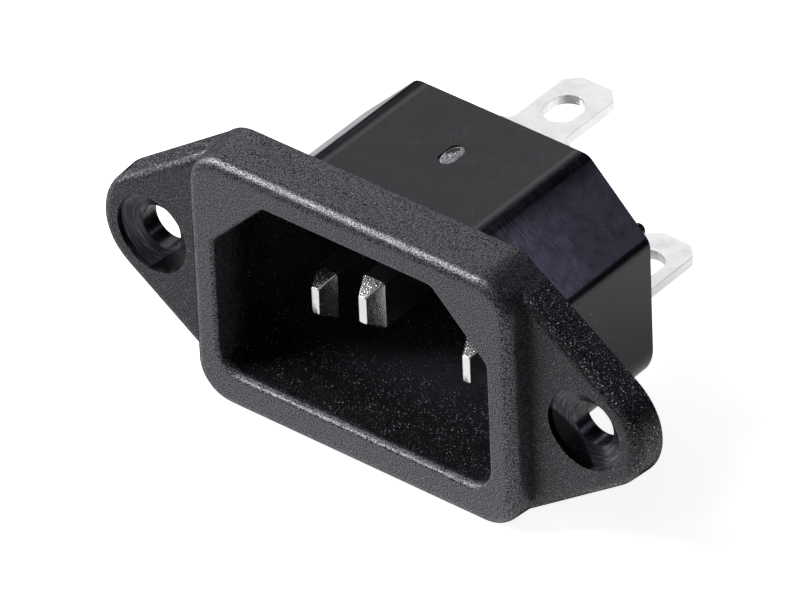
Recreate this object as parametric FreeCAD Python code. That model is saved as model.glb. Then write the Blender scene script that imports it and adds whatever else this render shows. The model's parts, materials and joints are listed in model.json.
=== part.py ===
# C14 panel inlet socket: a moulded housing, three contact blades and three bent solder lugs.
#
# Frame: the origin is the centre of the flange's rear face, midway between the two screw holes.
# +X is to the right seen from the mating side, +Y runs through the panel, +Z is up, the earth side.
# All sizes are in millimetres.
import FreeCAD, Part
import os
from math import asin, atan2, cos, hypot, radians, sin, sqrt, tan

# Flange: two screw ears whose sides run tangent to the corners of a raised frame
screw_spacing = 40.0
ear_radius = 5.0
ear_thickness = 2.7
ear_edge_radius = 0.95
frame_width = 30.3
frame_height = 22.4
frame_corner_radius = 3.3
frame_rise = 1.8
frame_edge_radius = 0.95
mould_draft = radians(4.0)
ear_step = 0.06

# Countersunk screw holes
screw_hole_diameter = 3.6
sink_diameter = 6.5
sink_lip = 0.5
sink_depth = 0.65

# Body behind the flange, with its two upper corners cut off
body_length = 13.8
body_width = 26.8
body_top = 9.55
body_bottom = 9.0
body_chamfer = 5.5
body_chamfer_radius = 1.2
body_bottom_radius = 3.6
body_rear_chamfer = 0.2

# Cavity that takes the cord's connector
cavity_width = 25.2
cavity_height = 16.4
cavity_lift = 0.25
cavity_chamfer = 4.85
cavity_chamfer_radius = 0.8
cavity_bottom_radius = 2.2
cavity_mouth_radius = 0.35
cavity_draft = radians(0.8)
floor_thickness = 2.0

# Contact blades: solid bars with coined tips
blade_thickness = 2.0
blade_height = 4.0
blade_edge_radius = 0.25
blade_pitch = 7.0
blade_rise = 2.0
blade_reach = 11.7
earth_lead = 2.95
tip_length = 1.4
tip_thickness = 0.7
tip_height = 2.35
tip_edge_radius = 0.12
collar_margin = 0.35
collar_length = 0.9
tenon_thickness = 1.2
tenon_height = 2.4
tenon_edge_radius = 0.2
head_margin = 0.4
head_height = 0.4

# Solder lugs: sheet bent square, riveted to the blades and standing off the rear face
lug_sheet = 0.8
earth_lug_offset = 3.75
live_lug_offset = 3.25
lug_width = 4.8
lug_length = 10.8
lug_shoulder_width = 6.4
lug_shoulder_start = 1.9
lug_shoulder_end = 3.6
lug_shoulder_radius = 0.7
lug_bend_radius = 0.5
lug_tip_chamfer = 1.05
lug_tip_radius = 0.4
lug_foot_margin = 1.8
eye_width = 2.7
eye_length = 3.5
eye_from_tip = 3.9

# Small moulded features
rib_thickness = 0.8
rib_height = 1.6
rib_top = 5.0
rib_bottom = 5.4
root_depth = 1.0
pip_diameter = 1.0
pip_height = 0.5
pip_chamfer = 0.15
pip_inset = 1.35
pip_rise = 0.35
gate_width = 1.35
gate_length = 2.5
gate_depth = 0.12
gate_margin = 0.12
stub_height = 0.06
gate_behind_flange = 7.8

# Share of an end's half width that rounds it: just short of one, so that a flat is left
rounding = 0.98
# Slack when edges are picked by where they lie
tolerance = 0.001

screw_x = screw_spacing / 2
front_face = -(ear_thickness + frame_rise)
cavity_floor = body_length - floor_thickness
cavity_top = cavity_lift + cavity_height / 2
cavity_bottom = cavity_lift - cavity_height / 2
blade_tip = cavity_floor - blade_reach
lug_back = body_length + lug_sheet
gate_y = gate_behind_flange

# Contact name: place across the socket (x, z), depth of the blade's tip, the lug's offset
contacts = {"earth": (0.0, blade_rise, blade_tip - earth_lead, earth_lug_offset),
            "line": (-blade_pitch, -blade_rise, blade_tip, -live_lug_offset),
            "neutral": (blade_pitch, -blade_rise, blade_tip, -live_lug_offset)}


def vector(x, y, z):
    return FreeCAD.Vector(x, y, z)


def upright(y):
    """Places (x, z) points in the plane across the socket at depth y."""
    return lambda x, z: vector(x, y, z)


def level(z):
    """Places (x, y) points in the horizontal plane at height z."""
    return lambda x, y: vector(x, y, z)


def corner_arc(corner, neighbours):
    """Start, middle and end of the round at a (u, v, radius) corner."""
    u, v, r = corner
    sides = []
    for pu, pv, _ in neighbours:
        length = hypot(pu - u, pv - v)
        sides.append(((pu - u) / length, (pv - v) / length))
    (au, av), (bu, bv) = sides
    half_cos = sqrt((1 + au * bu + av * bv) / 2)
    half_sin = sqrt(1 - half_cos ** 2)
    cut = r * half_cos / half_sin
    reach = (r / half_sin - r) / hypot(au + bu, av + bv)
    middle = (u + (au + bu) * reach, v + (av + bv) * reach)
    return (u + au * cut, v + av * cut), middle, (u + bu * cut, v + bv * cut)


def rounded_wire(corners, place):
    """Closed wire through (u, v, radius) corners; place(u, v) gives the point in space."""
    count = len(corners)
    arcs = [corner_arc(c, (corners[i - 1], corners[(i + 1) % count])) for i, c in enumerate(corners)]
    edges = []
    for i, (start, middle, end) in enumerate(arcs):
        if corners[i][2] > 0:
            edges.append(Part.Arc(place(*start), place(*middle), place(*end)).toShape())
        edges.append(Part.LineSegment(place(*end), place(*arcs[(i + 1) % count][0])).toShape())
    return Part.Wire(edges)


def rectangle(u, v, width, height, radius=0.0):
    """Corners of a rectangle centred on (u, v)."""
    w, h = width / 2, height / 2
    return [(u + w, v + h, radius), (u + w, v - h, radius), (u - w, v - h, radius), (u - w, v + h, radius)]


def prism(corners, y, length):
    """Straight prism along Y over an outline in (x, z)."""
    return Part.Face(rounded_wire(corners, upright(y))).extrude(vector(0, length, 0))


def plate(corners, z, thickness):
    """Flat plate over an outline in (x, y), from height z up."""
    return Part.Face(rounded_wire(corners, level(z))).extrude(vector(0, 0, thickness))


def loft(corners_from, y_from, corners_to, y_to):
    """Ruled solid between two outlines across the socket."""
    wires = [rounded_wire(corners_from, upright(y_from)), rounded_wire(corners_to, upright(y_to))]
    return Part.makeLoft(wires, True, True)


def edges_at(solid, y):
    """Edges that lie whole in the plane at depth y."""
    return [edge for edge in solid.Edges
            if abs(edge.BoundBox.YMin - y) < tolerance and abs(edge.BoundBox.YMax - y) < tolerance]


def frame_outline(inset):
    """Rounded rectangle of the raised frame, smaller by inset all round."""
    return rectangle(0, 0, frame_width - 2 * inset, frame_height - 2 * inset, frame_corner_radius - inset)


def flange_outline(inset):
    """Six-sided ear outline: each side is tangent to a tip circle and to a frame corner circle."""
    tip = ear_radius - inset
    corner = frame_corner_radius - ear_step - inset
    h = frame_height / 2 - ear_step - inset
    across = screw_x - (frame_width / 2 - frame_corner_radius)
    up = frame_height / 2 - frame_corner_radius
    slope = atan2(up, across) - asin((tip - corner) / hypot(across, up))
    x_corner = screw_x + (tip - h * cos(slope)) / sin(slope)
    x_apex = screw_x + tip / sin(slope)
    return [(x_corner, h, corner), (x_apex, 0, tip), (x_corner, -h, corner),
            (-x_corner, -h, corner), (-x_apex, 0, tip), (-x_corner, h, corner)]


def cut_corner_outline(half_width, top, bottom, chamfer, chamfer_radius, bottom_radius):
    """Socket outline: a rectangle with its upper corners cut off and its lower ones rounded."""
    x = half_width - chamfer
    return [(x, top, chamfer_radius), (half_width, top - chamfer, chamfer_radius),
            (half_width, bottom, bottom_radius), (-half_width, bottom, bottom_radius),
            (-half_width, top - chamfer, chamfer_radius), (-x, top, chamfer_radius)]


def body_outline():
    return cut_corner_outline(body_width / 2, body_top, -body_bottom, body_chamfer,
                              body_chamfer_radius, body_bottom_radius)


def cavity_outline(inset):
    return cut_corner_outline(cavity_width / 2 - inset, cavity_top - inset, cavity_bottom + inset,
                              cavity_chamfer, cavity_chamfer_radius, cavity_bottom_radius)


def moulded_slab(outline, depth, edge_radius):
    """Slab from the rear face forward, drafted and with its front edge rounded."""
    slab = loft(outline(0), 0, outline(depth * tan(mould_draft)), -depth)
    return slab.makeFillet(edge_radius, edges_at(slab, -depth))


def body():
    """Rear body, from the flange's front face to the rear wall."""
    block = prism(body_outline(), -ear_thickness, ear_thickness + body_length)
    return block.makeChamfer(body_rear_chamfer, edges_at(block, body_length))


def cavity():
    """Connector space, narrowing towards its floor."""
    inset = (cavity_floor - front_face) * tan(cavity_draft)
    return loft(cavity_outline(0), front_face, cavity_outline(inset), cavity_floor)


def mouth_edges(shell):
    """The cavity's own edges in the front face."""
    half = cavity_width / 2 + tolerance
    return [edge for edge in edges_at(shell, front_face) if abs(edge.CenterOfMass.x) < half
            and cavity_bottom - tolerance < edge.CenterOfMass.z < cavity_top + tolerance]


def screw_hole(x):
    """Through hole with a shallow lip and a countersink, opening forwards."""
    mouth = -ear_thickness
    bore, rim = screw_hole_diameter / 2, sink_diameter / 2
    along = vector(0, 1, 0)
    hole = Part.makeCylinder(bore, 2 * ear_thickness, vector(x, mouth, 0), along)
    lip = Part.makeCylinder(rim, frame_rise + sink_lip, vector(x, front_face, 0), along)
    sink = Part.makeCone(rim, bore, sink_depth, vector(x, mouth + sink_lip, 0), along)
    return hole.fuse([lip, sink])


def collar_corners(x, z):
    return rectangle(x, z, blade_thickness + 2 * collar_margin, blade_height + 2 * collar_margin)


def blade_slot(x, z):
    """Slot in the cavity floor and the collar's pocket behind it."""
    corners = rectangle(x, z, blade_thickness, blade_height, blade_edge_radius)
    slot = prism(corners, cavity_floor - floor_thickness, 2 * floor_thickness)
    pocket = prism(collar_corners(x, z), body_length - collar_length, 2 * collar_length)
    return slot.fuse(pocket)


def barrier_rib(x):
    """Wall between two lugs on the rear face, rooted in the rear wall."""
    corners = rectangle(x, (rib_top - rib_bottom) / 2, rib_thickness, rib_top + rib_bottom)
    return prism(corners, body_length - root_depth, root_depth + rib_height)


def corner_pip(side):
    """Round pip with a chamfered end, at an upper corner of the rear face."""
    x = side * (body_width / 2 - pip_inset)
    z = body_top - body_chamfer + pip_rise
    pip = Part.makeCylinder(pip_diameter / 2, root_depth + pip_height,
                            vector(x, body_length - root_depth, z), vector(0, 1, 0))
    return pip.makeChamfer(pip_chamfer, edges_at(pip, body_length + pip_height))


def gate_ring():
    """Oval recess around the moulding gate's witness."""
    corners = rectangle(0, gate_y, gate_width, gate_length, rounding * gate_width / 2)
    return plate(corners, body_top - gate_depth, 2 * gate_depth)


def gate_stub():
    """Broken stub of the gate, rooted below the floor of its recess."""
    width, length = gate_width - 2 * gate_margin, gate_length - 2 * gate_margin
    corners = rectangle(0, gate_y, width, length, rounding * width / 2)
    return plate(corners, body_top - 2 * gate_depth, gate_depth + stub_height)


def housing():
    """The one-piece moulding."""
    flange = moulded_slab(flange_outline, ear_thickness, ear_edge_radius)
    frame = moulded_slab(frame_outline, -front_face, frame_edge_radius)
    shell = flange.fuse([frame, body()]).removeSplitter()
    shell = shell.cut([cavity(), screw_hole(screw_x), screw_hole(-screw_x)])
    shell = shell.makeFillet(cavity_mouth_radius, mouth_edges(shell)).cut(gate_ring())
    rib_x = blade_pitch / 2
    shell = shell.fuse([gate_stub(), corner_pip(-1), corner_pip(1), barrier_rib(-rib_x), barrier_rib(rib_x)])
    slots = [blade_slot(x, z) for x, z, _, _ in contacts.values()]
    return shell.cut(slots).removeSplitter()


def blade(x, z, tip):
    """Blade with its coined tip, the collar seated in the rear wall, and a riveted tenon."""
    full = rectangle(x, z, blade_thickness, blade_height, blade_edge_radius)
    end = rectangle(x, z, tip_thickness, tip_height, tip_edge_radius)
    shank_start = tip + tip_length
    shank = prism(full, shank_start, body_length - shank_start)
    point = loft(full, shank_start, end, tip)
    collar = prism(collar_corners(x, z), body_length - collar_length, collar_length)
    tenon = prism(tenon_corners(x, z), body_length, lug_sheet)
    return shank.fuse([point, collar, tenon, rivet_head(x, z)]).removeSplitter()


def tenon_corners(x, z):
    return rectangle(x, z, tenon_thickness, tenon_height, tenon_edge_radius)


def rivet_head(x, z):
    """Peened end of the tenon, spread over the lug's foot and tapering off."""
    spread = 2 * head_margin
    base = rectangle(x, z, tenon_thickness + spread, tenon_height + spread, tenon_edge_radius + head_margin)
    return loft(base, lug_back, tenon_corners(x, z), lug_back + head_height)


def lug(x, z, offset):
    """One solder lug: foot, bend and tab, with the tenon's hole in the foot."""
    hole = prism(tenon_corners(x, z), body_length - lug_sheet, 3 * lug_sheet)
    return lug_foot(x, z, offset).fuse(lug_tab(x, z, offset)).cut(hole).removeSplitter()


def lug_foot(x, z, offset):
    """Foot plate on the rear face and its bend; a positive offset puts the tab above the blade."""
    side = 1 if offset > 0 else -1
    inner, outer = lug_bend_radius, lug_bend_radius + lug_sheet
    start = abs(offset) - lug_sheet / 2 - inner
    turn = sqrt(0.5)
    centre = lug_back + inner

    def at(y, up):
        return vector(x - lug_width / 2, y, z + side * up)
    heel, toe = at(body_length, -lug_foot_margin), at(lug_back, -lug_foot_margin)
    outside = [at(body_length, start), at(centre - outer * turn, start + outer * turn),
               at(centre, start + outer)]
    inside = [at(centre, start + inner), at(centre - inner * turn, start + inner * turn),
              at(lug_back, start)]
    edges = [Part.LineSegment(heel, outside[0]), Part.Arc(*outside), Part.LineSegment(outside[2], inside[0]),
             Part.Arc(*inside), Part.LineSegment(inside[2], toe), Part.LineSegment(toe, heel)]
    profile = Part.Wire([edge.toShape() for edge in edges])
    return Part.Face(profile).extrude(vector(lug_width, 0, 0))


def lug_tab(x, z, offset):
    """Flat tab with its shoulders, cut corners and eye."""
    bottom = z + offset - lug_sheet / 2
    corners = [(x + u, body_length + v, r) for u, v, r in tab_corners()]
    eye_y = body_length + lug_length - eye_from_tip
    eye = rectangle(x, eye_y, eye_width, eye_length, rounding * eye_width / 2)
    return plate(corners, bottom, lug_sheet).cut(plate(eye, bottom, lug_sheet))


def tab_corners():
    """The tab's outline from the bend's end outwards, v measured from the rear face."""
    w, s = lug_width / 2, lug_shoulder_width / 2
    half = [(w, lug_sheet + lug_bend_radius, 0), (w, lug_shoulder_start, 0),
            (s, lug_shoulder_start, 0), (s, lug_shoulder_end, 0),
            (w, lug_shoulder_end, lug_shoulder_radius),
            (w, lug_length - lug_tip_chamfer, lug_tip_radius),
            (w - lug_tip_chamfer, lug_length, lug_tip_radius)]
    return half + [(-u, v, r) for u, v, r in reversed(half)]


def main():
    os.makedirs("parts", exist_ok=True)
    pieces = {"housing": housing()}
    for name, (x, z, tip, offset) in contacts.items():
        pieces[name + "_blade"] = blade(x, z, tip)
        pieces[name + "_lug"] = lug(x, z, offset)
    for name, shape in pieces.items():
        shape.exportStep("parts/" + name + ".step")
        print(name, "valid" if shape.isValid() else "NOT VALID", len(shape.Solids), "solid", shape.BoundBox)


main()
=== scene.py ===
"""Dresses a C14 panel inlet socket: grained and smooth moulded plastic, plated contacts, moulding marks and dust."""
import json
from math import cos, radians, sin

import bmesh
import bpy
import numpy as np
from bpy.props import FloatProperty, FloatVectorProperty, IntProperty, PointerProperty
from mathutils import Matrix, Vector


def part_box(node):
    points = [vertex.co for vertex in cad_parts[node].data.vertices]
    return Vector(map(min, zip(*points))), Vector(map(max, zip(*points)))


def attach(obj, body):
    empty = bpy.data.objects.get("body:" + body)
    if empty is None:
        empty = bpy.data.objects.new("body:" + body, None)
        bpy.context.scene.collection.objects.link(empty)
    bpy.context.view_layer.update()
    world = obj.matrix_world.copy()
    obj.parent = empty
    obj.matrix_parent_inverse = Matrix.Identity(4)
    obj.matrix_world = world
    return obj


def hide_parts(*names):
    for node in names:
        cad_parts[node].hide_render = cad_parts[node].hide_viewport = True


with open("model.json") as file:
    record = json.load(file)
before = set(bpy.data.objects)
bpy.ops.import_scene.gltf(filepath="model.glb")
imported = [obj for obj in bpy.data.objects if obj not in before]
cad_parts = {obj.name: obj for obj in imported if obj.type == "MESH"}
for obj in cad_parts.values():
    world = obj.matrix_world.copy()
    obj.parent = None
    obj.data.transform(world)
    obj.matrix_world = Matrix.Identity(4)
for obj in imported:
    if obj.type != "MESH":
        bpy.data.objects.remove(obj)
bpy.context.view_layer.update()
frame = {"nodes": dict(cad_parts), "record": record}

bl_info = {
    "name": "Panel inlet socket",
    "version": (1, 0, 0),
    "blender": (4, 5, 0),
    "location": "View3D > Sidebar > Inlet",
    "description": "Dresses the panel inlet socket and sets up its studio",
    "category": "Object",
}

MM = 0.001
HOUSING_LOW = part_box("housing")[0]
SCREWS = next(m for m in frame["record"]["mounts"] if m["name"] == "panel_screws")["dims"]
SCREW_X = SCREWS["spacing_x_mm"] * MM / 2
FRONT = HOUSING_LOW.y
BODY_TOP = 9.55 * MM
BEHIND_CAVITY = 11.9 * MM
EAR_START = 15.0 * MM
EAR_FACE = -2.70 * MM
BLADES = [node for node in frame["nodes"] if node.endswith("_blade")]
LUGS = [node for node in frame["nodes"] if node.endswith("_lug")]
REAR_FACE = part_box(LUGS[0])[0].y
LUG_SHEET = 0.8 * MM
# Corners of the cavity's mouth, x and z in millimetres
MOUTH = ((7.8, 8.36), (12.5, 3.66), (12.5, -7.86), (-12.5, -7.86), (-12.5, 3.66), (-7.8, 8.36))
BLADE_WIDTH, BLADE_HEIGHT = 2.0 * MM, 4.0 * MM
COLLAR_START = REAR_FACE - 0.9 * MM
TENON_WIDTH, TENON_HEIGHT, HEAD_SPREAD = 1.2 * MM, 2.4 * MM, 0.8 * MM
MARKS_SEED = 11
STUB_SEED = 5


# ---------------------------------------------------------------- settings

def size(name, default, description):
    """A length in metres."""
    return FloatProperty(name=name, description=description, default=default, unit="LENGTH", precision=6, min=0)


def share(name, default, description):
    """A part of one."""
    return FloatProperty(name=name, description=description, default=default, min=0, max=1, subtype="FACTOR")


def colour(name, default, description):
    """A linear colour."""
    return FloatVectorProperty(name=name, description=description, default=default, size=3, min=0, max=1,
                               subtype="COLOR")


class PlasticSettings(bpy.types.PropertyGroup):
    """Colours and grain of the moulded housing"""
    pigment: colour("Pigment", (0.0018, 0.0018, 0.0022), "Colour of the plastic under its surface")
    peak: colour("Grain peaks", (0.060, 0.059, 0.066), "Colour of the rubbed peaks of the grain")
    # Painted glints: bright specks laid into the grain's colour, thickest in the cavity and on the ears' rounding,
    # and along the cavity's lower lip.
    painted_glint: colour("Glint", (0.70, 0.69, 0.72), "Colour of the bright specks of the cavity's grain")
    # The haze colour is also painted sheen: on the upper slopes it lies strongest at the front and fades to the rear.
    haze: colour("Haze", (0.030, 0.030, 0.042), "Colour of the rubbed haze on the body's slopes")
    scratch: colour("Scratch", (0.060, 0.060, 0.075), "Colour of the fine handling scratches")
    torn: colour("Torn", (0.36, 0.35, 0.36), "Colour of torn plastic")
    dust: colour("Dust", (0.42, 0.41, 0.39), "Colour of dust and lint")
    grain: size("Grain", 0.100 * MM, "Width of one pit of the spark-eroded grain")
    grain_depth: size("Grain depth", 0.022 * MM, "Height from a pit to a peak of the grain")
    grain_roughness: share("Grain roughness", 0.32, "Roughness of the grained faces")
    smooth_roughness: share("Smooth roughness", 0.23, "Roughness of the polished faces")
    sink_radius: size("Countersink", 3.25 * MM, "Radius inside which a screw hole is machined smooth")


class MetalSettings(bpy.types.PropertyGroup):
    """Plating and worn edges of the contacts"""
    nickel: colour("Nickel", (0.80, 0.79, 0.76), "Plating of the blades")
    nickel_roughness: share("Nickel roughness", 0.16, "Roughness of the blades")
    tip_length: size("Tip length", 1.4 * MM, "Length of the coined part of a blade")
    tip_width: size("Tip width", 0.7 * MM, "Width of a blade's end face")
    tip_height: size("Tip height", 2.35 * MM, "Height of a blade's end face")
    edge: size("Edge", 0.06 * MM, "Radius to which the contacts' sharp edges are worn")
    tin: colour("Tin", (0.95, 0.95, 0.935), "Plating of the solder lugs")
    tin_roughness: share("Tin roughness", 0.25, "Roughness of the solder lugs")


class StudioSettings(bpy.types.PropertyGroup):
    """Camera, world and floor"""
    azimuth: FloatProperty(name="Azimuth", description="Camera's turn to the right of the socket's axis",
                           default=radians(40.40), subtype="ANGLE")
    elevation: FloatProperty(name="Elevation", description="Camera's angle above the horizon",
                             default=radians(36.58), subtype="ANGLE")
    roll: FloatProperty(name="Roll", description="Camera's turn about its own axis",
                        default=radians(-2.50), subtype="ANGLE")
    distance: size("Distance", 0.8101, "From the camera to its aim")
    aim: FloatVectorProperty(name="Aim", description="Point the camera looks at",
                             default=(-0.80 * MM, 2.29 * MM, -0.52 * MM), size=3, subtype="XYZ")
    lens: FloatProperty(name="Lens", description="Focal length in millimetres", default=505.3, min=1)
    ambient: share("Ambient", 0.50, "Strength of the world on matt surfaces")
    floor_glow: share("Floor glow", 0.90, "Part of the floor's white that no shadow takes away")
    floor_colour: colour("Floor", (0.72, 0.72, 0.72), "Colour of the floor")
    pool_glow: share("Pool glow", 0.52, "Part of the floor's glow that reflections show")
    pool: size("Pool", 0.062, "Radius at which the floor's light has fallen off in reflections")
    pool_place: FloatVectorProperty(name="Pool's place", description="Middle of the floor's light in reflections",
                                    default=(0.025, 0.025), size=2, subtype="XYZ")


# ---------------------------------------------------------------- node helpers

class Nodes:
    """A material's node tree with short calls for the nodes that the finishes share."""

    def __init__(self, name):
        self.material = bpy.data.materials.new(name)
        self.material.use_nodes = True
        self.tree = self.material.node_tree
        self.tree.nodes.clear()
        output = self.add("ShaderNodeOutputMaterial")
        self.shader = self.add("ShaderNodeBsdfPrincipled")
        self.tree.links.new(self.shader.outputs["BSDF"], output.inputs["Surface"])
        self.position = self.add("ShaderNodeTexCoord").outputs["Object"]

    def add(self, kind, **settings):
        """A new node with its settings."""
        node = self.tree.nodes.new(kind)
        for key, value in settings.items():
            setattr(node, key, value)
        return node

    def put(self, node, name, value):
        """Sets a socket to a number or colour, or links another node's output to it."""
        socket = node.inputs[name]
        if isinstance(value, bpy.types.NodeSocket):
            self.tree.links.new(value, socket)
        else:
            socket.default_value = value

    def math(self, operation, a, b=0.0):
        """One operation on two values, each a number or another node's output."""
        node = self.add("ShaderNodeMath", operation=operation)
        self.put(node, 0, a)
        self.put(node, 1, b)
        return node.outputs["Value"]

    def times(self, first, *others):
        """Product of all the values."""
        for value in others:
            first = self.math("MULTIPLY", first, value)
        return first

    def plus(self, first, *others):
        """Sum of all the values."""
        for value in others:
            first = self.math("ADD", first, value)
        return first

    def rest(self, part):
        """What a part leaves of one."""
        return self.math("SUBTRACT", 1.0, part)

    def axes(self, vector=None):
        """The three components of a vector, by default of the place on the object."""
        node = self.add("ShaderNodeSeparateXYZ")
        self.put(node, "Vector", vector or self.position)
        return node.outputs["X"], node.outputs["Y"], node.outputs["Z"]

    def noise(self, feature, detail=2.0, roughness=0.5, vector=None, stretch=(1, 1, 1)):
        """Noise in 0..1 whose blobs are about feature metres across."""
        mapping = self.add("ShaderNodeMapping")
        self.put(mapping, "Vector", vector or self.position)
        self.put(mapping, "Scale", tuple(s / feature for s in stretch))
        node = self.add("ShaderNodeTexNoise")
        self.put(node, "Vector", mapping.outputs["Vector"])
        self.put(node, "Scale", 1.0)
        self.put(node, "Detail", detail)
        self.put(node, "Roughness", roughness)
        return node.outputs["Fac"]

    def ramp(self, value, low, high, to_low=0.0, to_high=1.0):
        """Smooth step from to_low to to_high as value goes from low to high."""
        node = self.add("ShaderNodeMapRange", interpolation_type="SMOOTHSTEP")
        self.put(node, "Value", value)
        for name, number in (("From Min", low), ("From Max", high), ("To Min", to_low), ("To Max", to_high)):
            self.put(node, name, number)
        return node.outputs["Result"]

    def blend(self, factor, a, b):
        """Colour a where factor is 0 and colour b where it is 1."""
        node = self.add("ShaderNodeMix", data_type="RGBA")
        self.put(node, 0, factor)
        self.put(node, 6, a)
        self.put(node, 7, b)
        return node.outputs[2]

    def bump(self, height, distance, under=None):
        """Normal of a relief distance high, on top of the relief under it."""
        node = self.add("ShaderNodeBump")
        self.put(node, "Height", height)
        self.put(node, "Distance", distance)
        self.put(node, "Strength", 1.0)
        if under is not None:
            self.put(node, "Normal", under)
        return node.outputs["Normal"]


class Masks:
    """Node outputs under their names."""

    def __init__(self, **outputs):
        self.__dict__.update(outputs)


def opaque(rgb, level=1.0):
    """Opaque colour, level times as bright as rgb."""
    return (*(c * level for c in rgb), 1.0)


# ---------------------------------------------------------------- finishes

def housing_zones(n, p):
    """Masks of the housing's zones, 1 inside and 0 outside, from the distances to its planes and screw axes."""
    x, y, z = n.axes()
    across = n.math("ABSOLUTE", x)
    from_screw = n.math("SUBTRACT", across, SCREW_X)
    radius = n.math("SQRT", n.plus(n.times(from_screw, from_screw), n.times(z, z)))
    sink = n.math("LESS_THAN", radius, p.sink_radius + 0.01 * MM)
    outline = cavity_mask(n, across, z)
    cavity = n.times(outline, n.math("LESS_THAN", y, BEHIND_CAVITY))
    behind_flange = n.ramp(y, 0.02 * MM, 0.06 * MM)
    smooth = n.math("MAXIMUM", n.times(behind_flange, n.rest(cavity)), sink)
    side_wall = n.times(n.ramp(across, 12.1 * MM, 12.3 * MM), n.ramp(z, -7.2 * MM, -6.6 * MM))
    deep_from = n.plus(n.times(side_wall, 3.0 * MM), FRONT + 0.95 * MM)
    ear = n.ramp(across, EAR_START - 0.1 * MM, EAR_START + 0.1 * MM)
    lower_mouth = n.times(outline, n.ramp(z, -7.30 * MM, -7.50 * MM))
    return Masks(
        y=y, z=z, across=across, radius=radius, sink=sink, smooth=smooth, grained=n.rest(smooth), ear=ear,
        deep=n.times(cavity, n.ramp(y, FRONT + 0.40 * MM, deep_from)),
        ear_round=n.times(ear, n.ramp(y, EAR_FACE + 0.04 * MM, EAR_FACE + 0.30 * MM)),
        # turned is 1 except on the frame's left edge, where painted shade takes away colour and shine.
        turned=painted_left_edge_shade(n, x, y, z),
        lip_highlight=n.times(lower_mouth, n.ramp(y, FRONT + 0.48 * MM, FRONT + 0.62 * MM, 1.0, 0.0)),
        slope=n.times(n.ramp(n.plus(across, z), 17.05 * MM, 17.35 * MM), smooth),
    )


def cavity_mask(n, across, z):
    """1 inside the cavity's outline: a rectangle with its two upper corners cut off."""
    return n.times(
        n.math("LESS_THAN", across, 12.75 * MM),
        n.math("LESS_THAN", z, 8.6 * MM),
        n.math("GREATER_THAN", z, -8.1 * MM),
        n.math("LESS_THAN", n.plus(across, z), 16.9 * MM),
    )


def painted_left_edge_shade(n, x, y, z):
    """Painted shade where the frame's left edge turns away from the front: less colour and shine there, 1 elsewhere.
    """
    edge = n.times(n.ramp(x, -14.30 * MM, -14.60 * MM), n.ramp(x, -15.30 * MM, -15.20 * MM),
                   n.ramp(z, 5.5 * MM, 3.5 * MM))
    return n.rest(n.times(edge, n.ramp(y, FRONT + 0.02 * MM, FRONT + 0.12 * MM, 0.0, 0.92)))


def housing_grain(n, p, zone):
    """Spark-eroded grain: pits, and the peaks and crystals that stand out of it in each zone, with painted shade on
    the peaks in the cavity and on the ears, painted sparkles in the cavity and a painted highlight along the lower
    lip.
    """
    pits = n.noise(p.grain, detail=2, roughness=0.75)
    crystals = n.noise(p.grain * 1.15, detail=1)
    clumps = n.ramp(n.noise(1.3 * MM, detail=3, roughness=0.6), 0.38, 0.62, 0.15, 1.0)
    # Painted shade: the grain's lighter peaks fade to a tenth deep in the cavity and to under half on the ears.
    kept_by_painted_shade = n.rest(n.math("MAXIMUM", n.times(zone.deep, 0.90), n.times(zone.ear, 0.55)))
    lip_length = n.ramp(zone.across, 10.8 * MM, 11.8 * MM, 1.0, 0.0)
    return Masks(
        pits=pits,
        peaks=n.times(n.ramp(pits, 0.42, 0.58), zone.grained, kept_by_painted_shade, zone.turned),
        scatter=n.times(n.ramp(crystals, 0.65, 0.72), zone.grained),
        # Painted sparkles: clumps of bright specks of colour deep in the cavity.
        painted_sparkle=n.times(n.ramp(crystals, 0.68, 0.75), zone.deep, clumps),
        # Painted highlight: a speckled bright line along the lower lip of the cavity's mouth.
        lip_highlight=n.times(zone.lip_highlight, n.ramp(pits, 0.40, 0.58), lip_length),
    )


def rubbed_haze_and_sheen(n, zone):
    """Wiped haze with painted sheen: its share on the upper slopes, where the painted sheen fades to the rear, and on
    the other smooth faces plain haze.
    """
    wiped = n.ramp(n.noise(0.075 * MM, detail=2, stretch=(0.06, 1, 0.06)), 0.42, 0.68)
    patches = n.ramp(n.noise(2.4 * MM, detail=3, roughness=0.6), 0.35, 0.65, 0.3, 1.0)
    wipe = n.times(n.plus(n.times(wiped, patches), 0.30), 0.75)
    # Painted sheen: the slopes' haze is laid strongest at the front and fades to the rear.
    fading = n.ramp(zone.y, 0.5 * MM, 11.0 * MM, 1.0, 0.12)
    return n.times(zone.slope, fading, wipe), n.times(zone.smooth, n.rest(zone.sink), wipe, 0.22)


def housing_colour(n, p, zone, grain, slope_haze_and_sheen, flat_haze):
    """Pigment under layers, each blended over the last by its own share: grain, painted glints, a painted highlight
    on the lower lip, wiped haze with painted sheen on the slopes, and scratches; the cavity's pigment is painted
    lighter towards the back.
    """
    # Painted light: deep in the cavity the pigment is laid lighter towards the back, up to eighteen times.
    painted_light_inside = n.blend(n.ramp(zone.y, -1.0 * MM, 7.0 * MM), opaque(p.pigment, 1.5), opaque(p.pigment, 18))
    # Painted glints: bright specks on the grain outside the cavity, most on the ears' rounding.
    painted_glints_outside = n.times(grain.scatter, n.plus(n.times(zone.ear_round, 0.85), 0.12))
    layers = (
        (grain.peaks, p.peak),
        (n.math("MAXIMUM", grain.painted_sparkle, painted_glints_outside), p.painted_glint),
        (n.times(grain.lip_highlight, 0.20), p.painted_glint),
        (slope_haze_and_sheen, p.haze),
        (flat_haze, p.haze),
        (n.times(fine_scratches(n), zone.smooth, 0.3), p.scratch),
    )
    shade = n.blend(zone.deep, opaque(p.pigment), painted_light_inside)
    for part, tone in layers:
        shade = n.blend(part, shade, opaque(tone))
    return shade


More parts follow.
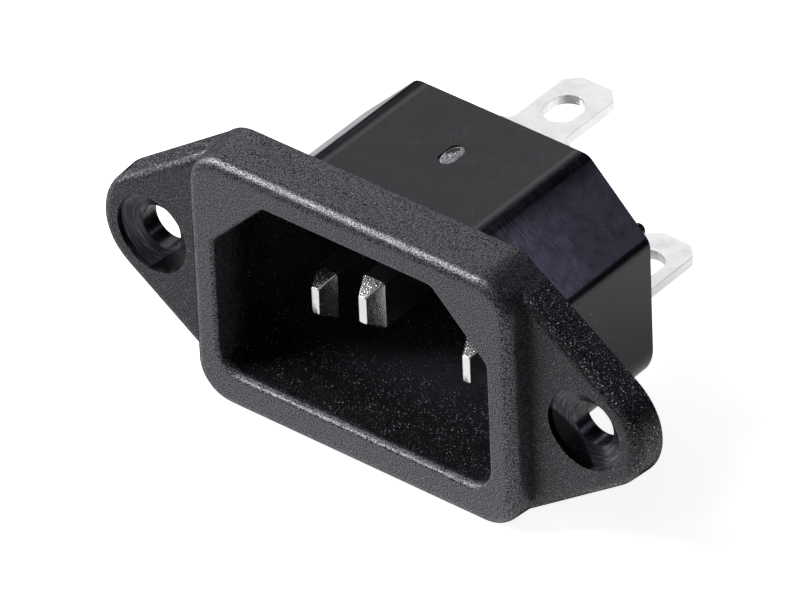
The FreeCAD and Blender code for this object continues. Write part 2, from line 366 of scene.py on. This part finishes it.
def housing_gloss(n, zone, grain, slope_haze_and_sheen):
    """Specular level: a sum over the zones and the grain's parts, less where the grain is seen at a slant, with
    painted shade on the frame's left edge and painted sheen along the body's upper edges.
    """
    rubbed = n.ramp(zone.y, FRONT + 0.05 * MM, FRONT + 0.4 * MM, 1.12, 1.0)
    hollow = n.math("MAXIMUM", zone.deep, n.times(zone.ear_round, 0.5))
    level = n.plus(
        n.times(zone.grained, -0.25), 0.33,
        n.times(zone.sink, -0.20),
        n.times(slope_haze_and_sheen, 1.1),
        n.times(grain.peaks, rubbed, 1.10),
        n.times(grain.scatter, n.plus(n.times(zone.ear_round, 1.2), 0.8)),
        n.times(hollow, -0.045),
        n.times(grain.painted_sparkle, 0.9),
    )
    grazed = n.ramp(n.add("ShaderNodeLayerWeight").outputs["Facing"], 0.56, 0.82)
    return n.times(level, n.rest(n.times(grazed, zone.grained)), zone.turned, painted_edge_sheen(n, zone))


def painted_edge_sheen(n, zone):
    """Painted sheen along the body's upper edges: a lighter line on the top, then dull on the edge and the slope's
    start.
    """
    across = zone.across
    beside = n.times(n.ramp(across, 6.60 * MM, 6.90 * MM), n.ramp(across, 6.90 * MM, 7.20 * MM, 1.0, 0.0))
    dull = n.times(n.ramp(across, 7.00 * MM, 7.40 * MM), n.ramp(across, 7.90 * MM, 9.50 * MM, 1.0, 0.0))
    cloud = n.ramp(n.noise(1.1 * MM, detail=4, roughness=0.7), 0.3, 0.7, -0.06, 0.06)
    change = n.plus(n.times(beside, 0.85), n.times(dull, -0.80), cloud)
    return n.plus(n.times(change, zone.smooth, n.ramp(zone.z, 6.0 * MM, 7.0 * MM)), 1.0)


def housing_relief(n, p, zone, grain):
    """Normal from three reliefs, each in its zone: the grain's pits, a countersink's rings, the moulding's flow."""
    flow = n.noise(2.2 * MM, detail=4, roughness=0.6, stretch=(1, 0.35, 1))
    rings = n.noise(0.10 * MM, detail=3, roughness=0.7, vector=ring_vector(n, zone.radius))
    pitted = n.bump(n.times(grain.pits, zone.grained), p.grain_depth)
    satin = n.bump(n.times(rings, zone.sink), 0.004 * MM, under=pitted)
    return n.bump(n.times(flow, zone.smooth), 0.010 * MM, under=satin)


def housing_finish(p):
    """Black plastic: spark-eroded grain on the flange and cavity, polished behind it and in the countersinks."""
    n = Nodes("moulded_black")
    zone = housing_zones(n, p)
    grain = housing_grain(n, p, zone)
    slope_haze_and_sheen, flat_haze = rubbed_haze_and_sheen(n, zone)
    worn = n.ramp(n.noise(0.9 * MM, detail=5, roughness=0.7), 0.3, 0.8, -0.03, 0.07)
    grain_part = n.times(zone.grained, p.grain_roughness - p.smooth_roughness)
    n.put(n.shader, "Base Color", housing_colour(n, p, zone, grain, slope_haze_and_sheen, flat_haze))
    n.put(n.shader, "Roughness", n.plus(grain_part, p.smooth_roughness, n.times(zone.lip_highlight, 0.14), worn))
    n.put(n.shader, "Normal", housing_relief(n, p, zone, grain))
    n.put(n.shader, "Specular IOR Level", housing_gloss(n, zone, grain, slope_haze_and_sheen))
    n.put(n.shader, "IOR", 1.46)
    n.put(n.shader, "Specular Tint", (0.96, 0.95, 1.0, 1.0))
    return n.material


def fine_scratches(n):
    """Thin handling scratches in two slants: stretched noise where it crosses its middle value."""
    lines = None
    for turn, reach in ((radians(35), 0.05), (radians(-48), 0.07)):
        mapping = n.add("ShaderNodeMapping")
        n.put(mapping, "Vector", n.position)
        n.put(mapping, "Rotation", (0.3, turn, turn))
        value = n.noise(0.55 * MM, detail=2, vector=mapping.outputs["Vector"], stretch=(1, 0.06, 1))
        near = n.math("ABSOLUTE", n.math("SUBTRACT", value, 0.5))
        line = n.ramp(near, 0.0, reach * 0.12, 1.0, 0.0)
        lines = line if lines is None else n.math("MAXIMUM", lines, line)
    return n.times(lines, n.ramp(n.noise(1.7 * MM, detail=2), 0.45, 0.6))


def ring_vector(n, radius):
    """Coordinate that only changes with the distance from a screw's axis, for turned streaks."""
    node = n.add("ShaderNodeCombineXYZ")
    n.put(node, "X", radius)
    return node.outputs["Vector"]


def nickel_finish(p):
    """Bright nickel plate: mirror-like on the shank, dimpled and sparkling where the tip was coined."""
    n = Nodes("nickel_plate")
    _, _, up = n.axes(n.add("ShaderNodeNewGeometry").outputs["True Normal"])
    tagged = n.add("ShaderNodeAttribute", attribute_name="coined").outputs["Fac"]
    coined = n.times(tagged, n.ramp(up, 0.05, 0.35, 0.35, 1.0))
    dimple = n.noise(0.11 * MM, detail=2, roughness=0.6)
    scuff = n.noise(0.35 * MM, detail=4, roughness=0.7)
    facets = n.times(n.ramp(dimple, 0.59, 0.67), coined)
    dull = n.math("SUBTRACT", coined, facets)
    n.put(n.shader, "Base Color", n.blend(dull, opaque(p.nickel), opaque(p.nickel, 0.10)))
    n.put(n.shader, "Metallic", 1.0)
    rough = n.ramp(scuff, 0.3, 0.8, p.nickel_roughness - 0.05, p.nickel_roughness + 0.10)
    n.put(n.shader, "Roughness", n.plus(rough, n.times(coined, 0.10)))
    hammered = n.bump(n.times(dimple, coined), 0.045 * MM)
    n.put(n.shader, "Normal", n.bump(scuff, 0.004 * MM, under=hammered))
    return n.material


def tin_finish(p):
    """Bright tin plate with faint rolling lines; the sheared edges are rougher, the eye's wall is torn, and a dark
    line of painted shade runs along the rolled edges.
    """
    n = Nodes("tin_plate")
    cloud = n.noise(1.6 * MM, detail=3, roughness=0.6)
    brush = n.noise(0.06 * MM, detail=3, stretch=(1, 0.05, 1))
    torn = n.noise(0.14 * MM, detail=3, roughness=0.7)
    _, _, up = n.axes(n.add("ShaderNodeNewGeometry").outputs["True Normal"])
    level = n.math("ABSOLUTE", up)
    sheared = n.ramp(level, 0.35, 0.65, 1.0, 0.0)
    face = n.blend(n.ramp(cloud, 0.35, 0.75), opaque(p.tin, 0.82), opaque(p.tin, 0.79))
    pitted = n.blend(n.ramp(torn, 0.42, 0.60), opaque(p.tin, 0.86), opaque(p.tin, 1.04))
    # Painted shade: a dark line on the rolled edges, picked out by their slant alone.
    painted_edge_line = n.times(n.ramp(level, 0.35, 0.5), n.ramp(level, 0.95, 0.99, 0.9, 0.0))
    metal = n.blend(painted_edge_line, n.blend(sheared, face, pitted), opaque(p.tin, 0.28))
    n.put(n.shader, "Base Color", metal)
    n.put(n.shader, "Metallic", 1.0)
    rough = n.ramp(cloud, 0.3, 0.8, p.tin_roughness - 0.02, p.tin_roughness + 0.04)
    n.put(n.shader, "Roughness", n.plus(rough, n.times(sheared, 0.12)))
    rolled = n.bump(n.plus(brush, cloud), 0.0015 * MM)
    n.put(n.shader, "Normal", n.bump(n.times(torn, sheared), 0.03 * MM, under=rolled))
    return n.material


def speckled_finish(name, tone, rough, feature=0.10 * MM):
    """Matt broken or dusty surface: light and dark crumbs about feature across."""
    n = Nodes(name)
    crumbs = n.noise(feature, detail=3, roughness=0.7)
    n.put(n.shader, "Base Color", n.blend(n.ramp(crumbs, 0.40, 0.60), opaque(tone, 0.06), opaque(tone)))
    n.put(n.shader, "Roughness", n.ramp(crumbs, 0.3, 0.7, rough + 0.1, rough - 0.1))
    n.put(n.shader, "Normal", n.bump(crumbs, 0.3 * feature))
    return n.material


def wear(node, material):
    """Gives a CAD node its finish through its material slots."""
    slots = frame["nodes"][node].data.materials
    slots.clear()
    slots.append(material)


# ---------------------------------------------------------------- surfaces

def grid_piece(name, points, material, closed=False):
    """Mesh from an array of points with one row per profile step; closed joins each row's last point to its first."""
    rows, columns = points.shape[:2]
    index = np.arange(rows * columns).reshape(rows, columns)
    if closed:
        index = np.concatenate([index, index[:, :1]], axis=1)
    quads = np.stack([index[:-1, :-1], index[:-1, 1:], index[1:, 1:], index[1:, :-1]], axis=-1).reshape(-1, 4)
    mesh = bpy.data.meshes.new(name)
    mesh.from_pydata(points.reshape(-1, 3).tolist(), [], quads.tolist())
    mesh.materials.append(material)
    piece = bpy.data.objects.new(name, mesh)
    bpy.context.scene.collection.objects.link(piece)
    return piece


def solidify_poles(piece, angle=20):
    """Merges the points that meet in a pole and shades the surface smooth up to the given angle."""
    mesh = piece.data
    work = bmesh.new()
    work.from_mesh(mesh)
    bmesh.ops.remove_doubles(work, verts=work.verts, dist=1e-8)
    bmesh.ops.recalc_face_normals(work, faces=work.faces)
    work.to_mesh(mesh)
    work.free()
    mesh.shade_smooth()
    mesh.set_sharp_from_angle(angle=radians(angle))


def rectangle_rings(centre, y, width, height, radius, steps=7):
    """One rounded rectangle per row at depth y: each corner is an arc about a centre set in by its radius."""
    turn = np.radians(np.arange(4)[:, None] * 90 + np.linspace(0, 90, steps)[None, :]).ravel()[None, :]
    side_x = np.repeat([1, -1, -1, 1], steps)[None, :]
    side_z = np.repeat([1, 1, -1, -1], steps)[None, :]
    y, width, height, radius = (np.asarray(a, dtype=float)[:, None] for a in (y, width, height, radius))
    radius = np.minimum(radius, np.minimum(width, height) / 2)
    x = centre.x + side_x * (width / 2 - radius) + radius * np.cos(turn)
    z = centre.z + side_z * (height / 2 - radius) + radius * np.sin(turn)
    return np.stack([x, y + 0 * x, z], axis=-1)


def flat_columns(steps=7):
    """1 for a ring's points on its flat sides, 0 for those on its corner arcs."""
    corner = np.zeros(steps)
    corner[[0, -1]] = 1.0
    return np.tile(corner, 4)


def rounded_step(y, width, height, edge, ahead, steps=7):
    """Quarter-round from a face across the bar to its side: set in by edge(1 - sin), deeper by edge(1 - cos)."""
    a = np.radians(np.linspace(0, 90, steps))
    inset = edge * (1 - np.sin(a))
    return y + ahead * edge * (1 - np.cos(a)), width - 2 * inset, height - 2 * inset


def panel_points(azimuths, elevations, distance, steps=24):
    """Part of a sphere about the origin: azimuth from +Y towards +X by elevation above the horizon."""
    a = np.radians(np.linspace(*azimuths, steps))[None, :]
    e = np.radians(np.linspace(*elevations, steps))[:, None]
    x, y, z = np.sin(a) * np.cos(e), np.cos(a) * np.cos(e), np.sin(e) + 0 * a
    return distance * np.stack([x, y, z], axis=-1)


# ---------------------------------------------------------------- operators

class INLET_OT_housing(bpy.types.Operator):
    """Dress the moulded housing"""
    bl_idname = "inlet.housing"
    bl_label = "Housing"

    def execute(self, context):
        wear("housing", housing_finish(context.scene.inlet_plastic))
        return {"FINISHED"}


def blade_rows(low, high, p):
    """Stations along a blade: depth, width, height, corner radius and whether the metal was coined there."""
    width, height = BLADE_WIDTH, BLADE_HEIGHT
    neck, rear, seat = COLLAR_START, REAR_FACE, REAR_FACE + LUG_SHEET
    collar_w, collar_h = high.x - low.x, high.z - low.z
    e = p.edge
    tip_y, tip_w, tip_h = rounded_step(low.y, p.tip_width, p.tip_height, e, 1)
    full = low.y + p.tip_length
    head_y, head_w, head_h = rounded_step(high.y, TENON_WIDTH, TENON_HEIGHT, e, -1)
    y = [low.y, *tip_y, full - 0.04 * MM, full, full + 0.05 * MM, neck, neck, rear, rear,
         seat, seat, *head_y[::-1], high.y]
    w = [0, *tip_w, width - 0.03 * MM, width + 0.03 * MM, width, width, collar_w, collar_w, TENON_WIDTH,
         TENON_WIDTH, TENON_WIDTH + HEAD_SPREAD, *head_w[::-1], 0]
    h = [0, *tip_h, height - 0.04 * MM, height + 0.01 * MM, height, height, collar_h, collar_h, TENON_HEIGHT,
         TENON_HEIGHT, TENON_HEIGHT + HEAD_SPREAD, *head_h[::-1], 0]
    corner = np.where(np.array(y) < full, 0.12 * MM, 0.20 * MM)
    coined = np.where((np.array(y) > low.y + 0.5 * e) & (np.array(y) < full + 0.02 * MM), 1.0, 0.0)
    return y, w, h, corner, coined


def torn_stub(centre, half_x, half_y, depth, seed, rows=24, columns=64):
    """Oval stub torn off unevenly: its top is a sum of sine waves of random slant, and a slit runs across it."""
    chance = np.random.default_rng(seed)
    u = np.linspace(0, 1, rows)[:, None]
    t = np.linspace(0, 2 * np.pi, columns, endpoint=False)[None, :]
    x, y = half_x * u * np.cos(t), half_y * u * np.sin(t)
    waves = chance.normal(0, 16 / (1.0 * MM), (10, 2))
    phases = chance.uniform(0, 2 * np.pi, 10)
    rough = np.sin(waves[:, 0, None, None] * x + waves[:, 1, None, None] * y + phases[:, None, None]).sum(axis=0) / 4
    from_x, from_y = x + 0.26 * MM, y - 0.50 * MM
    along, across = 0.465 * from_x + 0.885 * from_y, 0.465 * from_y - 0.885 * from_x
    slit = np.exp(-(along / (0.42 * MM)) ** 4 - (across / (0.15 * MM)) ** 4)
    height = depth * np.clip(0.5 + 0.5 * rough - 9.0 * slit, -4.5, 1.1) * (1 - u ** 8)
    top = np.stack([centre.x + x, centre.y + y, centre.z + height], axis=-1)
    skirt = top[-1:] * [1, 1, 0] + [0, 0, centre.z - 5 * depth]
    closing = np.broadcast_to(np.array([centre.x, centre.y, centre.z - 5 * depth]), skirt.shape)
    return np.concatenate([top, skirt, closing])


def tube_rings(path, radius, columns=8):
    """Round tube along a path: a circle about each point in the plane across the path's direction there."""
    path = np.asarray(path, dtype=float)
    ahead = np.gradient(path, axis=0)
    ahead /= np.linalg.norm(ahead, axis=1, keepdims=True)
    side = np.cross(ahead, [0.31, 0.52, 0.79])
    side /= np.linalg.norm(side, axis=1, keepdims=True)
    other = np.cross(ahead, side)
    t = np.linspace(0, 2 * np.pi, columns, endpoint=False)[None, :, None]
    taper = np.sqrt(np.clip(1 - np.linspace(-1, 1, len(path)) ** 8, 0, 1))[:, None, None]
    return path[:, None] + radius * taper * (np.cos(t) * side[:, None] + np.sin(t) * other[:, None])


def specks_piece(name, centres, radii, material, rows=5, columns=7):
    """Many small ellipsoids in one mesh: each is a grid of latitude by longitude about its own centre."""
    latitude = np.linspace(-np.pi / 2, np.pi / 2, rows)[:, None]
    longitude = np.linspace(0, 2 * np.pi, columns, endpoint=False)[None, :]
    unit = np.stack([np.cos(latitude) * np.cos(longitude), np.cos(latitude) * np.sin(longitude),
                     np.sin(latitude) + 0 * longitude], axis=-1)
    points = centres[:, None, None] + radii[:, None, None] * unit[None]
    index = np.arange(rows * columns).reshape(rows, columns)
    index = np.concatenate([index, index[:, :1]], axis=1)
    quads = np.stack([index[:-1, :-1], index[:-1, 1:], index[1:, 1:], index[1:, :-1]], axis=-1).reshape(-1, 4)
    quads = quads[None] + (np.arange(len(centres)) * rows * columns)[:, None, None]
    mesh = bpy.data.meshes.new(name)
    mesh.from_pydata(points.reshape(-1, 3).tolist(), [], quads.reshape(-1, 4).tolist())
    mesh.materials.append(material)
    piece = bpy.data.objects.new(name, mesh)
    bpy.context.scene.collection.objects.link(piece)
    return piece


def ride_housing(piece, angle=60):
    """Closes a mark's poles and attaches it to the root body."""
    solidify_poles(piece, angle)
    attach(piece, "root")


def screw_rims(count, chance):
    """Random places on the countersinks' rims, and on the ears' faces just outside them."""
    t = chance.uniform(0, 2 * np.pi, count)
    reach = 3.27 * MM + chance.exponential(0.04 * MM, count)
    side = chance.choice([-1, 1], count)
    return np.stack([side * SCREW_X + reach * np.cos(t), 0 * t + EAR_FACE, reach * np.sin(t)], axis=-1)


def mouth_rim(count, chance):
    """Random places along the cavity's mouth, on the worn round between its wall and the front face."""
    corners = np.array(MOUTH) * MM
    start, step = corners, np.roll(corners, -1, axis=0) - corners
    length = np.linalg.norm(step, axis=1)
    pick = chance.choice(len(corners), count, p=length / length.sum())
    place = start[pick] + step[pick] * chance.uniform(0.04, 0.96, count)[:, None]
    return np.stack([place[:, 0], np.full(count, FRONT + 0.09 * MM), place[:, 1]], axis=-1)


def ear_backs(count, chance):
    """Random places along the rear edge of the ears' upper sides."""
    share_along = chance.uniform(0, 1, count)
    side = chance.choice([-1, 1], count)
    x = side * (16.6 + 6.0 * share_along) * MM
    return np.stack([x, 0 * x - 0.02 * MM, (10.42 - 6.06 * share_along) * MM], axis=-1)


def settled_dust(count, chance):
    """Random places on the body's top, its right upper slope and its right side."""
    face = chance.choice(3, count, p=[0.5, 0.3, 0.2])
    y = chance.uniform(0.6, 13.2, count) * MM
    across = chance.uniform(0.08, 0.92, count)
    x = np.choose(face, [-7.4 + 14.8 * across, 7.9 + 5.5 * across, 13.4 + 0 * across]) * MM
    z = np.choose(face, [9.55 + 0 * across, 9.55 - 5.5 * across, -5.0 + 8.5 * across]) * MM
    return np.stack([x, y, z], axis=-1)


class INLET_OT_marks(bpy.types.Operator):
    """Make the torn gate stub, the flash along the rims, the dust and two bits of lint"""
    bl_idname = "inlet.marks"
    bl_label = "Moulding marks"

    def execute(self, context):
        p = context.scene.inlet_plastic
        torn = speckled_finish("torn_plastic", p.torn, 0.5)
        lint = speckled_finish("dust_and_lint", p.dust, 0.7)
        gate = Vector((0.05 * MM, 7.8 * MM, BODY_TOP - 0.05 * MM))
        stub = torn_stub(gate, 0.66 * MM, 1.24 * MM, 0.09 * MM, STUB_SEED)
        ride_housing(grid_piece("gate_stub", stub, torn, closed=True))
        chance = np.random.default_rng(MARKS_SEED)
        flash = np.concatenate([screw_rims(60, chance), mouth_rim(46, chance), ear_backs(34, chance)])
        ride_housing(specks_piece("rim_flash", flash, chance.uniform(0.012, 0.038, flash.shape) * MM, torn))
        dust = settled_dust(38, chance)
        ride_housing(specks_piece("settled_dust", dust, chance.uniform(0.012, 0.045, dust.shape) * MM, lint))
        t = np.linspace(0, 1, 16)[:, None]
        fibre = np.array([-13.62, -4.36, -8.95]) + t * [0.16, 0.02, 0.62] + np.sin(2.4 * t) * [0.10, -0.03, 0.02]
        spur = np.array([9.20, -4.40, -7.98]) + t * [0.30, -0.02, 0.22] + np.sin(3.0 * t) * [0.02, 0.01, 0.10]
        ride_housing(grid_piece("lint_fibre", tube_rings(fibre * MM, 0.020 * MM), lint, closed=True))
        ride_housing(grid_piece("rim_spur", tube_rings(spur * MM, 0.032 * MM), lint, closed=True))
        return {"FINISHED"}


class INLET_OT_blades(bpy.types.Operator):
    """Make the nickel-plated blades with coined tips and worn edges"""
    bl_idname = "inlet.blades"
    bl_label = "Blades"

    def execute(self, context):
        settings = context.scene.inlet_metal
        nickel = nickel_finish(settings)
        for node in BLADES:
            low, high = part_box(node)
            y, width, height, corner, coined = blade_rows(low, high, settings)
            rings = rectangle_rings((low + high) / 2, y, width, height, corner)
            piece = grid_piece("plated_" + node, rings, nickel, closed=True)
            tag = piece.data.attributes.new("coined", "FLOAT", "POINT")
            tag.data.foreach_set("value", np.outer(coined, flat_columns()).ravel().astype(np.float32))
            solidify_poles(piece)
            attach(piece, "root")
            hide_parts(node)
        return {"FINISHED"}


class INLET_OT_lugs(bpy.types.Operator):
    """Make the tin-plated solder lugs with the rolled edges of sheared sheet"""
    bl_idname = "inlet.lugs"
    bl_label = "Solder lugs"

    def execute(self, context):
        settings = context.scene.inlet_metal
        tin = tin_finish(settings)
        for node in LUGS:
            mesh = frame["nodes"][node].data.copy()
            work = bmesh.new()
            work.from_mesh(mesh)
            bmesh.ops.remove_doubles(work, verts=work.verts, dist=1e-7)
            bmesh.ops.dissolve_limit(work, angle_limit=radians(1), verts=work.verts, edges=work.edges)
            work.to_mesh(mesh)
            work.free()
            mesh.materials.clear()
            mesh.materials.append(tin)
            piece = bpy.data.objects.new("sheared_" + node, mesh)
            context.scene.collection.objects.link(piece)
            roll = piece.modifiers.new("rolled_edges", "BEVEL")
            roll.width, roll.segments = settings.edge * 1.5, 3
            roll.limit_method, roll.angle_limit = "ANGLE", radians(40)
            roll.harden_normals = True
            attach(piece, "root")
            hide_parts(node)
        return {"FINISHED"}


def make_world(p):
    """White to the camera and in reflections, and a softer even light on matt surfaces."""
    world = bpy.data.worlds.new("studio")
    world.use_nodes = True
    tree = world.node_tree
    tree.nodes.clear()
    rays = tree.nodes.new("ShaderNodeLightPath")
    background = tree.nodes.new("ShaderNodeBackground")
    output = tree.nodes.new("ShaderNodeOutputWorld")
    seen = rays.outputs["Is Camera Ray"]
    for name in ("Is Glossy Ray", "Is Transmission Ray"):
        either = tree.nodes.new("ShaderNodeMath")
        either.operation = "MAXIMUM"
        tree.links.new(seen, either.inputs[0])
        tree.links.new(rays.outputs[name], either.inputs[1])
        seen = either.outputs["Value"]
    strength = tree.nodes.new("ShaderNodeMapRange")
    strength.inputs["To Min"].default_value = p.ambient
    strength.inputs["To Max"].default_value = 1.0
    tree.links.new(seen, strength.inputs["Value"])
    tree.links.new(strength.outputs["Result"], background.inputs["Strength"])
    background.inputs["Color"].default_value = (1, 1, 1, 1)
    tree.links.new(background.outputs["Background"], output.inputs["Surface"])
    bpy.context.scene.world = world


def make_floor(p):
    """Pale floor: the camera sees part of its white as a glow, which keeps the shadow light; elsewhere it fades."""
    n = Nodes("pale_floor")
    offset = n.add("ShaderNodeVectorMath", operation="DISTANCE")
    n.put(offset, 0, n.position)
    n.put(offset, 1, (p.pool_place[0], p.pool_place[1], HOUSING_LOW.z))
    seen = n.add("ShaderNodeLightPath").outputs["Is Camera Ray"]
    # Painted pool of light: in reflections the floor glows near the socket, and farther off its glow fades and its
    # colour drops to a tenth.
    pool = n.ramp(offset.outputs["Value"], p.pool / 4, p.pool, 1.0, 0.02)
    lit = n.math("MAXIMUM", seen, n.times(pool, p.pool_glow))
    far = n.ramp(offset.outputs["Value"], p.pool * 1.3, p.pool * 2.0)
    apart = n.blend(far, opaque(p.floor_colour), opaque(p.floor_colour, 0.10))
    n.put(n.shader, "Base Color", n.blend(seen, apart, opaque([0.75] * 3)))
    n.put(n.shader, "Roughness", 0.8)
    n.put(n.shader, "Emission Color", (1, 1, 1, 1))
    n.put(n.shader, "Emission Strength", n.times(lit, p.floor_glow))
    side = np.linspace(-3, 3, 9)
    across, along = np.meshgrid(side, side)
    floor = grid_piece("floor", np.stack([across, along, 0 * across + HOUSING_LOW.z], axis=-1), n.material)


def make_panel(name, azimuths, elevations, radiance=(0, 0, 0), distance=0.45):
    """Curved panel of an even brightness: black as a flag, brighter as a softbox; the camera doesn't see it."""
    n = Nodes(name)
    n.put(n.shader, "Base Color", (0, 0, 0, 1))
    n.put(n.shader, "Specular IOR Level", 0.0)
    n.put(n.shader, "Emission Color", opaque(radiance))
    n.put(n.shader, "Emission Strength", 1.0)
    panel = grid_piece(name, panel_points(azimuths, elevations, distance), n.material)
    panel.visible_camera = False


# Name, azimuths and elevations in degrees, then radiance where the panel glows and distance where it isn't 0.45
PANELS = (
    ("flag_overhead", (-180, 180), (58, 90)),
    ("flag_left", (-100, -52), (47, 58.5)),
    ("flag_left_horizon", (-104, -31), (-1, 17)),
    ("flag_behind", (-31, 39), (-1, 58.5)),
    ("strip_behind", (-36, -31), (22, 52), (1.7, 1.7, 1.8)),
    ("softbox_behind", (39, 53), (25, 42), (1.40, 1.40, 2.00)),
    ("flag_low_behind", (39, 62), (-1, 25), (0.03, 0.03, 0.035)),
    ("flag_high_behind", (39, 62), (42, 58.5)),
    ("flag_beside_softbox", (53, 62), (25, 42)),
    ("flag_right", (62, 150), (-1, 58.5)),
    ("flag_front_horizon", (150, 262), (-1, 30)),
    ("strip_left", (-112, -88), (3, 18), (9.0, 9.0, 9.2), 0.40),
)


def make_lamp(name, toward, distance, width, height, power, tint=(1, 1, 1)):
    """Softbox that looks at the origin; toward is its azimuth from +Y towards +X and its elevation, in degrees."""
    light = bpy.data.lights.new(name, "AREA")
    light.shape = "RECTANGLE"
    light.size, light.size_y, light.energy, light.color = width, height, power, tint
    lamp = bpy.data.objects.new(name, light)
    bpy.context.scene.collection.objects.link(lamp)
    azimuth, elevation = map(radians, toward)
    way = Vector((sin(azimuth) * cos(elevation), cos(azimuth) * cos(elevation), sin(elevation)))
    lamp.location = way * distance
    lamp.rotation_euler = way.to_track_quat("Z", "Y").to_euler()
    lamp.visible_camera = False
    return lamp


def make_camera(p):
    """Long lens at the studio's angle: turned by azimuth and elevation about the aim, then rolled."""
    data = bpy.data.cameras.new("camera")
    data.lens = p.lens
    data.clip_start, data.clip_end = 0.01, 100.0
    camera = bpy.data.objects.new("camera", data)
    bpy.context.scene.collection.objects.link(camera)
    away = Vector((sin(p.azimuth) * cos(p.elevation), -cos(p.azimuth) * cos(p.elevation), sin(p.elevation)))
    level = Vector((cos(p.azimuth), sin(p.azimuth), 0))
    turned = Matrix((level, away.cross(level), away)).transposed() @ Matrix.Rotation(p.roll, 3, "Z")
    camera.matrix_world = Matrix.Translation(Vector(p.aim) + away * p.distance) @ turned.to_4x4()
    bpy.context.scene.camera = camera


class INLET_OT_studio(bpy.types.Operator):
    """Build the floor, flags, lamps, world and camera"""
    bl_idname = "inlet.studio"
    bl_label = "Studio"

    def execute(self, context):
        p = context.scene.inlet_studio
        make_world(p)
        make_floor(p)
        for panel in PANELS:
            make_panel(*panel)
        make_lamp("key", (-122, 45), 0.60, 0.34, 0.30, 5.8, (0.97, 0.96, 1.0))
        make_camera(p)
        context.scene.view_settings.view_transform = "Standard"
        return {"FINISHED"}


class INLET_PT_panel(bpy.types.Panel):
    """Lists the steps that dress the socket"""
    bl_idname = "INLET_PT_panel"
    bl_label = "Inlet socket"
    bl_space_type = "VIEW_3D"
    bl_region_type = "UI"
    bl_category = "Inlet"

    def draw(self, context):
        for operator in OPERATORS:
            self.layout.operator(operator.bl_idname)
        for name in GROUPS:
            settings = getattr(context.scene, name)
            box = self.layout.box()
            for prop in settings.bl_rna.properties.keys():
                if prop not in ("rna_type", "name"):
                    box.prop(settings, prop)


OPERATORS = (INLET_OT_housing, INLET_OT_marks, INLET_OT_blades, INLET_OT_lugs, INLET_OT_studio)
GROUPS = {"inlet_plastic": PlasticSettings, "inlet_metal": MetalSettings, "inlet_studio": StudioSettings}


def register():
    """Registers the classes and hangs the settings on the scene."""
    for kind in (*GROUPS.values(), *OPERATORS, INLET_PT_panel):
        bpy.utils.register_class(kind)
    for name, group in GROUPS.items():
        setattr(bpy.types.Scene, name, PointerProperty(type=group))


def unregister():
    """Takes away what register added."""
    for name in GROUPS:
        delattr(bpy.types.Scene, name)
    for kind in (INLET_PT_panel, *OPERATORS[::-1], *GROUPS.values()):
        bpy.utils.unregister_class(kind)


def main():
    """Dresses the socket step by step."""
    register()
    bpy.ops.inlet.housing()
    bpy.ops.inlet.marks()
    bpy.ops.inlet.blades()
    bpy.ops.inlet.lugs()
    bpy.ops.inlet.studio()


if __name__ == "__main__":
    main()
